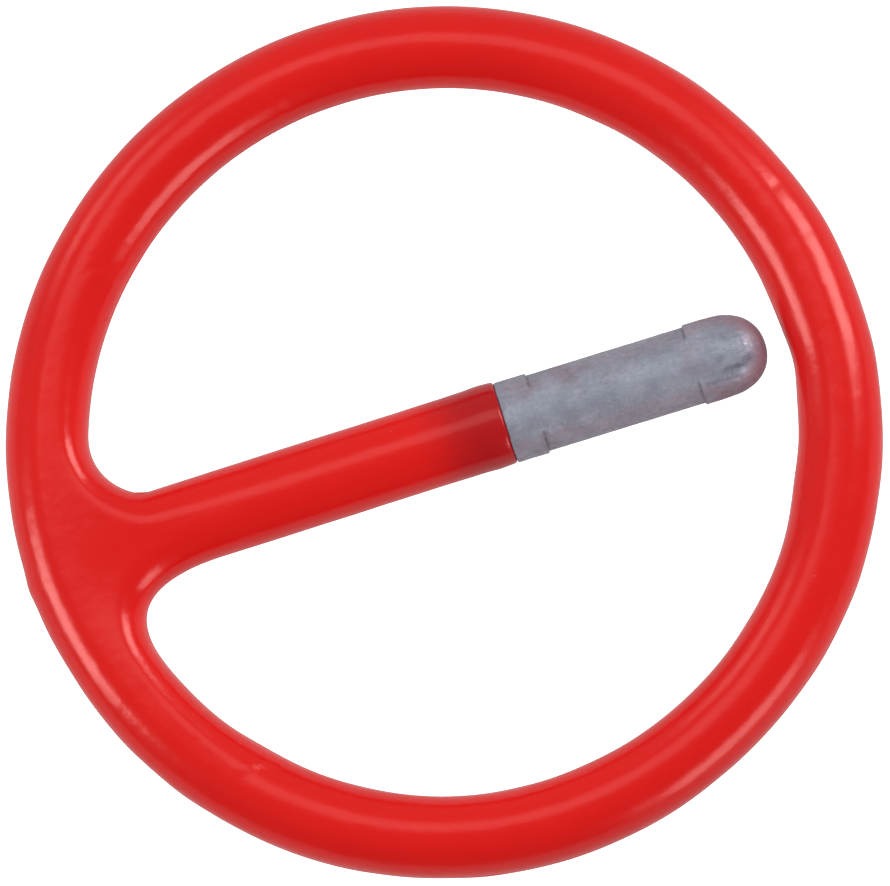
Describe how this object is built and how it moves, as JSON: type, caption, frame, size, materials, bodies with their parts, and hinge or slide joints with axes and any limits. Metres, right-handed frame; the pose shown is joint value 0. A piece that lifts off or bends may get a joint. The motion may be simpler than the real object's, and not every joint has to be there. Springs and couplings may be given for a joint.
{
  "type": "socket retaining ring with locking pin",
  "caption": "Red elastomer ring of round section with a sleeve across its inside that holds a dome-nosed steel locking pin, to retain a large impact socket.",
  "frame": {"origin": "centre of the ring, in its middle plane", "axes": "+Z along the ring's axis, +X along the locking pin from its root in the ring to its domed nose"},
  "size_m": [0.067, 0.067, 0.0064],
  "materials": {
    "red_elastomer": "glossy moulded elastomer",
    "phosphated_steel": "as-cast and phosphated, matt blue-grey"
  },
  "bodies": {
    "ring": {"retaining_ring": "red_elastomer"},
    "pin": {"pin_sleeve": "red_elastomer", "locking_pin": "phosphated_steel"}
  },
  "joints": [
    {"name": "pin_flex", "type": "hinge", "parent": "ring", "child": "pin", "pos_m": [-0.02, 0, 0], "axis": [0, -1, 0], "range_deg": [-60, 60], "stiffness_Nm_per_rad": 0.3}
  ]
}
